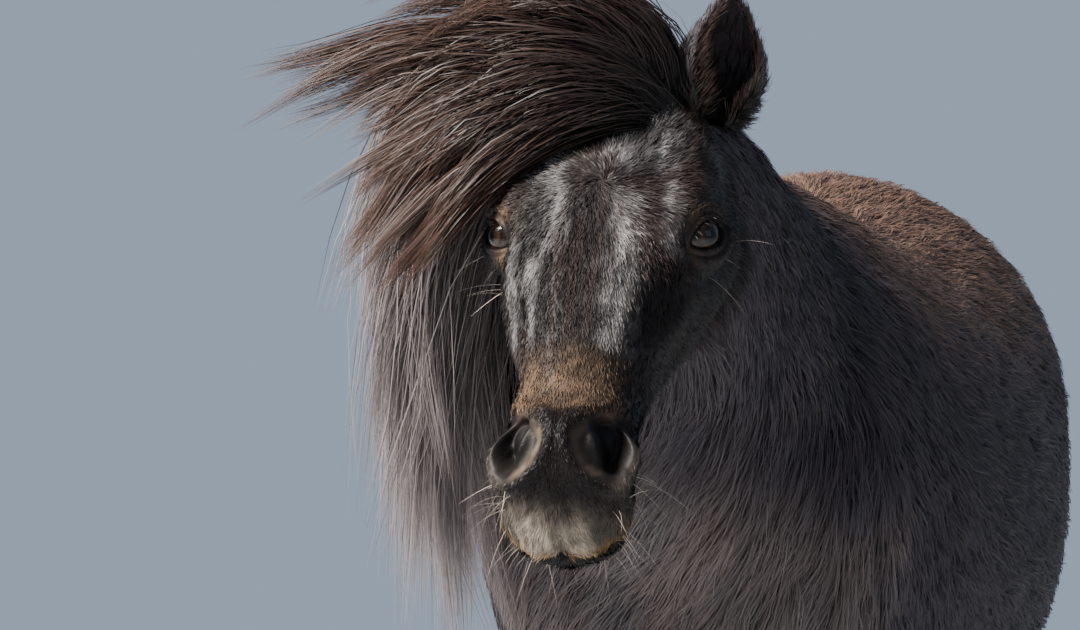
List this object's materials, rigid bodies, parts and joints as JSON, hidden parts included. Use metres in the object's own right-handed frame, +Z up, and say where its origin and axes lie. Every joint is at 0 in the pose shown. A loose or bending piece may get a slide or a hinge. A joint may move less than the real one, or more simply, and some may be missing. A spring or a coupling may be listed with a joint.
{
  "type": "shetland pony model",
  "caption": "Still life-size model of a small, stocky, shaggy pony standing square, head forward, with its mane and forelock blown to one side.",
  "frame": {"origin": "on the ground, under the middle of the whole model's box", "axes": "+Z up, the pony faces -Y, +X to the pony's left"},
  "size_m": [0.5764, 1.6836, 1.134],
  "materials": {
    "coat": "short dense winter hair, near-black brown, sun bleached to copper on the back",
    "face": "short glossy black-brown hair with a tan band above the nostrils and a dark, bare muzzle",
    "mane": "long black-brown hair with reddish brown tips",
    "eye": "wet, dark brown",
    "hoof": "dark horn with fine growth rings"
  },
  "bodies": {
    "root": {"torso": "coat", "neck": "mane", "head": "face", "ear_left": "coat", "ear_right": "coat", "eye_left": "eye", "eye_right": "eye", "foreleg_left": "coat", "foreleg_right": "coat", "hindleg_left": "coat", "hindleg_right": "coat", "hoof_foreleg_left": "hoof", "hoof_foreleg_right": "hoof", "hoof_hindleg_left": "hoof", "hoof_hindleg_right": "hoof", "tail": "mane"}
  },
  "joints": []
}
